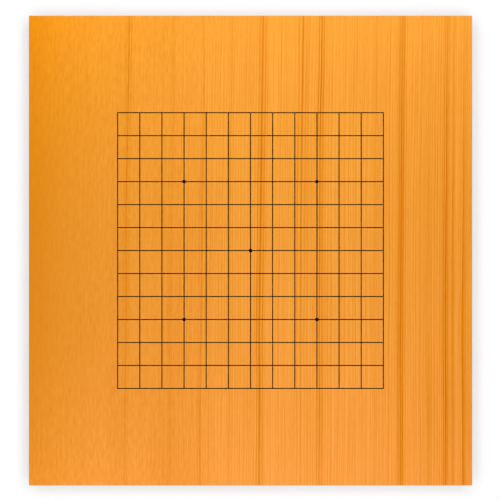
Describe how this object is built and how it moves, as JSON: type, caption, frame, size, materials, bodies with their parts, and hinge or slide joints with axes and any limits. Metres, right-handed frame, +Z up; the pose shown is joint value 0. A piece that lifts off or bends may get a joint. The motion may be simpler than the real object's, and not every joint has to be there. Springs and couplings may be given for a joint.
{
  "type": "weiqi board",
  "caption": "Flat reversible wooden weiqi board: veneered panel with solid lipped edges, a small printed grid on one face and a full grid on the other.",
  "frame": {"origin": "middle of the underside, on the table", "axes": "+X across the grain to the right of the picture, +Y along the grain to the top of the picture, +Z up out of the face with the small grid"},
  "size_m": [0.4256, 0.451, 0.02],
  "materials": {
    "fibreboard": "raw medium-density fibreboard",
    "softwood_lipping": "satin lacquer on straight-grained softwood",
    "softwood_veneer": "satin lacquer on quarter-cut softwood veneer",
    "printing_ink": "dark ink under the lacquer"
  },
  "bodies": {
    "root": {"core_panel": "fibreboard", "lipping_front": "softwood_lipping", "lipping_right": "softwood_lipping", "lipping_rear": "softwood_lipping", "lipping_left": "softwood_lipping", "face_veneer": "softwood_veneer", "face_grid_lines": "printing_ink", "face_star_points": "printing_ink", "back_veneer": "softwood_veneer", "back_grid_lines": "printing_ink", "back_star_points": "printing_ink"}
  },
  "joints": []
}
